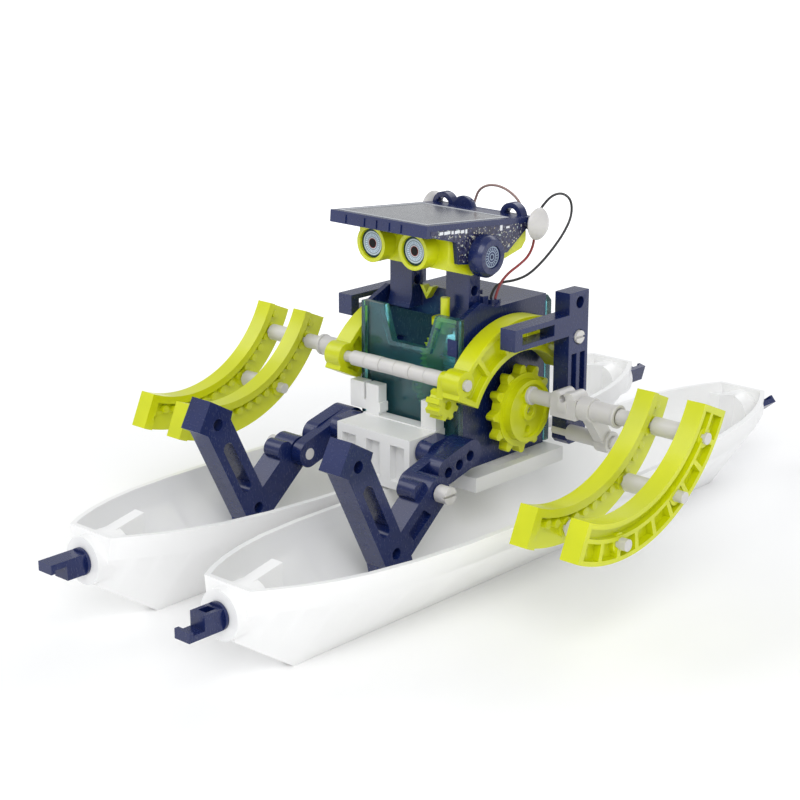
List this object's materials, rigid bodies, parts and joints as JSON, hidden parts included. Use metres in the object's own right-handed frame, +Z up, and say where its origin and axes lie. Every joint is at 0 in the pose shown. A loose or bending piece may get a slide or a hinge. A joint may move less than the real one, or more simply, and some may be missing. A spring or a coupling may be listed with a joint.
{
  "type": "solar robot kit",
  "caption": "Small rowing robot on twin white hulls: solar panel head, gear chamber with motor, crank discs, curved oars, jointed legs and end clips.",
  "frame": {"origin": "on the ground under the middle of the two hulls", "axes": "+Z up, -Y towards the bow, +X towards the robot's left"},
  "size_m": [0.1848, 0.2756, 0.1122],
  "materials": {
    "hull_white": "white glossy moulded",
    "chassis_white": "white satin moulded",
    "pin_white": "off-white satin moulded",
    "navy": "dark navy glossy moulded",
    "yellow": "lime yellow glossy moulded",
    "cover_teal": "clear teal tinted",
    "gear_plastic": "lime satin",
    "steel": "bright",
    "panel_dark": "dark resin over silicon cells",
    "wire_red": "red insulation",
    "wire_black": "black insulation"
  },
  "bodies": {
    "root": {"hull_left": "hull_white", "hull_right": "hull_white", "deck_bridge": "chassis_white", "gear_chamber": "navy", "front_cover": "cover_teal", "rear_cover": "cover_teal", "cover_screws": "steel", "shaft_bushes": "gear_plastic", "solar_motor": "steel", "gear_spindles": "steel", "frame_pins": "pin_white", "front_bar": "pin_white", "bar_sleeves": "pin_white", "hand_hub": "yellow", "shoulder_arc_left": "yellow", "shoulder_arc_right": "yellow", "arm_bracket_left": "navy", "arm_bracket_right": "navy", "neck_frame": "navy", "neck_spindle": "yellow", "head_shell": "yellow", "solar_tray": "navy", "solar_panel": "panel_dark", "rear_arches": "navy", "ball_caps": "pin_white", "wire_red": "wire_red", "wire_black": "wire_black", "wire_loop": "wire_red"},
    "drive": {"drive_shaft": "steel", "final_gear": "gear_plastic", "crank_disc_left": "yellow", "crank_disc_right": "yellow", "crank_pins": "pin_white"},
    "gear_a": {"compound_gear_a": "gear_plastic"},
    "gear_b": {"compound_gear_b": "gear_plastic"},
    "motor_rotor": {"motor_pinion": "gear_plastic"},
    "oar_left": {"oar_connector_left": "pin_white", "link_arm_left": "pin_white", "oar_sleeves_left": "pin_white", "oar_inner_left": "yellow", "oar_outer_left": "yellow", "oar_pins_left": "pin_white"},
    "thigh_left": {"thigh_left": "navy", "knee_pin_left": "pin_white"},
    "foot_left": {"foot_left": "navy"},
    "ear_left": {"ear_left": "navy"},
    "bow_clip_left": {"bow_clip_left": "navy"},
    "stern_clip_left": {"stern_clip_left": "navy"},
    "oar_right": {"oar_connector_right": "pin_white", "link_arm_right": "pin_white", "oar_sleeves_right": "pin_white", "oar_inner_right": "yellow", "oar_outer_right": "yellow", "oar_pins_right": "pin_white"},
    "thigh_right": {"thigh_right": "navy", "knee_pin_right": "pin_white"},
    "foot_right": {"foot_right": "navy"},
    "ear_right": {"ear_right": "navy"},
    "bow_clip_right": {"bow_clip_right": "navy"},
    "stern_clip_right": {"stern_clip_right": "navy"}
  },
  "joints": [
    {"name": "drive_spin", "type": "hinge", "parent": "root", "child": "drive", "pos_m": [0, 0.0028, 0.0478], "axis": [1, 0, 0], "continuous": true},
    {"name": "gear_b_spin", "type": "hinge", "parent": "root", "child": "gear_b", "pos_m": [0, -0.00586, 0.0528], "axis": [1, 0, 0], "continuous": true},
    {"name": "gear_a_spin", "type": "hinge", "parent": "root", "child": "gear_a", "pos_m": [0, -0.0072, 0.06271], "axis": [1, 0, 0], "continuous": true},
    {"name": "motor_spin", "type": "hinge", "parent": "root", "child": "motor_rotor", "pos_m": [0, 0.0028, 0.0626], "axis": [1, 0, 0], "continuous": true},
    {"name": "oar_left_stroke", "type": "hinge", "parent": "root", "child": "oar_left", "pos_m": [0.0489, 0.0122, 0.0407], "axis": [1, 0, 0], "range_deg": [-11, 24]},
    {"name": "hip_left", "type": "hinge", "parent": "root", "child": "thigh_left", "pos_m": [0.017, -0.032, 0.041], "axis": [1, 0, 0], "range_deg": [-25, 0]},
    {"name": "knee_left", "type": "hinge", "parent": "thigh_left", "child": "foot_left", "pos_m": [0.028, -0.044, 0.035], "axis": [1, 0, 0], "range_deg": [-30, 0]},
    {"name": "ear_left_turn", "type": "hinge", "parent": "root", "child": "ear_left", "pos_m": [0.022, -0.0112, 0.0969], "axis": [1, 0, 0], "continuous": true},
    {"name": "oar_right_stroke", "type": "hinge", "parent": "root", "child": "oar_right", "pos_m": [-0.0489, 0.0122, 0.0407], "axis": [1, 0, 0], "range_deg": [-11, 24]},
    {"name": "hip_right", "type": "hinge", "parent": "root", "child": "thigh_right", "pos_m": [-0.017, -0.032, 0.041], "axis": [1, 0, 0], "range_deg": [-25, 0]},
    {"name": "knee_right", "type": "hinge", "parent": "thigh_right", "child": "foot_right", "pos_m": [-0.028, -0.044, 0.035], "axis": [1, 0, 0], "range_deg": [-30, 0]},
    {"name": "ear_right_turn", "type": "hinge", "parent": "root", "child": "ear_right", "pos_m": [-0.022, -0.0112, 0.0969], "axis": [1, 0, 0], "continuous": true},
    {"name": "bow_clip_left_turn", "type": "hinge", "parent": "root", "child": "bow_clip_left", "pos_m": [0.028, -0.125, 0.022], "axis": [0, 1, 0], "continuous": true},
    {"name": "stern_clip_left_turn", "type": "hinge", "parent": "root", "child": "stern_clip_left", "pos_m": [0.028, 0.125, 0.022], "axis": [0, 1, 0], "continuous": true},
    {"name": "bow_clip_right_turn", "type": "hinge", "parent": "root", "child": "bow_clip_right", "pos_m": [-0.028, -0.125, 0.022], "axis": [0, 1, 0], "continuous": true},
    {"name": "stern_clip_right_turn", "type": "hinge", "parent": "root", "child": "stern_clip_right", "pos_m": [-0.028, 0.125, 0.022], "axis": [0, 1, 0], "continuous": true}
  ],
  "couplings": [
    {"joint": "gear_b_spin", "follows": "drive_spin", "ratio": -3},
    {"joint": "gear_a_spin", "follows": "drive_spin", "ratio": 9},
    {"joint": "motor_spin", "follows": "drive_spin", "ratio": -27},
    {"joint": "oar_right_stroke", "follows": "oar_left_stroke", "ratio": 1}
  ]
}
